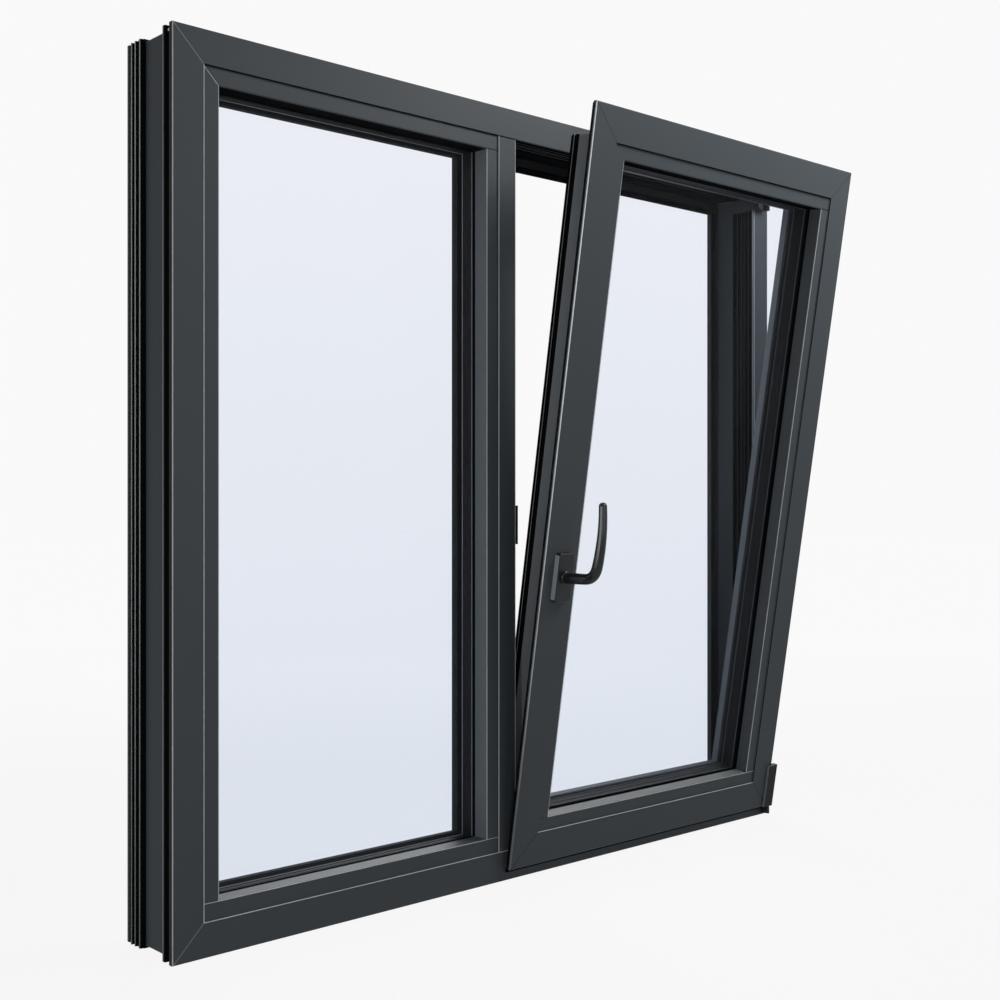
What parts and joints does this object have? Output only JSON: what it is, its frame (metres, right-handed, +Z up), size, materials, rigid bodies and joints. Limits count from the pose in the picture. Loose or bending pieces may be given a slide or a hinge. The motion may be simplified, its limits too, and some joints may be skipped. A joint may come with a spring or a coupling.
{
  "type": "tilt and turn window",
  "caption": "Two-light dark grey window: a fixed glazed light beside an inward-opening sash that tilts at the top or turns on its side hinge, worked by a lever handle.",
  "frame": {"origin": "on the underside of the sill, at mid width and mid depth of its flat band", "axes": "+X to the right seen from the room, +Y from the room to the outside, +Z up"},
  "size_m": [1.21, 0.3042, 1.15],
  "materials": {
    "frame_coat": "satin fine-texture powder coat",
    "handle_coat": "satin powder coat",
    "clear_glass": "clear",
    "black_seal": "matt",
    "spacer_bar": "matt",
    "hardware": "zinc plated",
    "black_hardware": "matt"
  },
  "bodies": {
    "frame": {"frame_sill": "frame_coat", "frame_head": "frame_coat", "frame_left_jamb": "frame_coat", "frame_right_jamb": "frame_coat", "flange_seal": "black_seal", "mullion": "frame_coat", "fixed_bead_bottom": "frame_coat", "fixed_bead_top": "frame_coat", "fixed_bead_left": "frame_coat", "fixed_bead_right": "frame_coat", "fixed_inner_pane": "clear_glass", "fixed_outer_pane": "clear_glass", "fixed_spacer": "spacer_bar", "fixed_inner_gasket": "black_seal", "fixed_outer_gasket": "black_seal", "rebate_gasket": "black_seal", "mullion_keep": "black_hardware", "lower_hinge_bracket": "hardware", "upper_hinge_bracket": "hardware"},
    "hinge_link": {"hinge_knuckle": "hardware"},
    "sash": {"sash_bottom_rail": "frame_coat", "sash_top_rail": "frame_coat", "sash_left_stile": "frame_coat", "sash_right_stile": "frame_coat", "sash_bead_bottom": "frame_coat", "sash_bead_top": "frame_coat", "sash_bead_left": "frame_coat", "sash_bead_right": "frame_coat", "sash_inner_pane": "clear_glass", "sash_outer_pane": "clear_glass", "sash_spacer": "spacer_bar", "sash_inner_gasket": "black_seal", "sash_outer_gasket": "black_seal", "overlap_gasket": "black_seal", "sash_edge_seal": "black_seal", "hinge_cover": "black_hardware", "handle_rosette": "handle_coat"},
    "stay": {"stay_arm": "hardware"},
    "handle": {"handle_lever": "handle_coat"}
  },
  "joints": [
    {"name": "sash_turn", "type": "hinge", "parent": "frame", "child": "hinge_link", "pos_m": [0.59, -0.0625, 0.026], "axis": [0, 0, 1], "range_deg": [0, 90]},
    {"name": "sash_tilt", "type": "hinge", "parent": "hinge_link", "child": "sash", "pos_m": [0.59, -0.0625, 0.026], "axis": [-1, 0, 0], "range_deg": [0, 9]},
    {"name": "stay_swing", "type": "hinge", "parent": "hinge_link", "child": "stay", "pos_m": [0.59, -0.0625, 1.088], "axis": [0, 0, -1], "range_deg": [0, 24.1]},
    {"name": "handle_turn", "type": "hinge", "parent": "sash", "child": "handle", "pos_m": [-0.013, -0.13242, 0.44826], "axis": [0, 0.9877, 0.1564], "range_deg": [0, 180]}
  ],
  "couplings": [
    {"joint": "stay_swing", "follows": "sash_tilt", "ratio": 2.6753}
  ]
}
